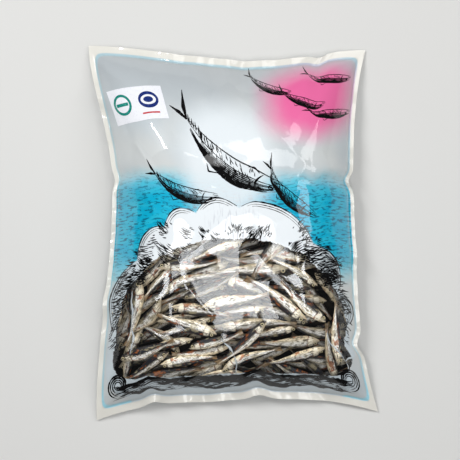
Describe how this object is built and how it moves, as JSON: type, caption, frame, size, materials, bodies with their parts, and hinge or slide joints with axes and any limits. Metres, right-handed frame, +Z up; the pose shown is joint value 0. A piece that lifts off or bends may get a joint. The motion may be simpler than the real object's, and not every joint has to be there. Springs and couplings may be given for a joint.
{
  "type": "sealed bag of dried anchovies",
  "caption": "Pillow-shaped film bag of dried anchovies, sealed flat all round, lying on its back with a clear window in its printed front.",
  "frame": {"origin": "on the table, under the middle of the bag's box", "axes": "+X across the bag to its right side seal, +Y along the bag to its top end seal, +Z up out of the printed front"},
  "size_m": [0.3326, 0.4304, 0.0786],
  "materials": {
    "film": "glossy pale printed film with a clear window over silver-grey dried fish"
  },
  "bodies": {
    "root": {"bag": "film"}
  },
  "joints": []
}
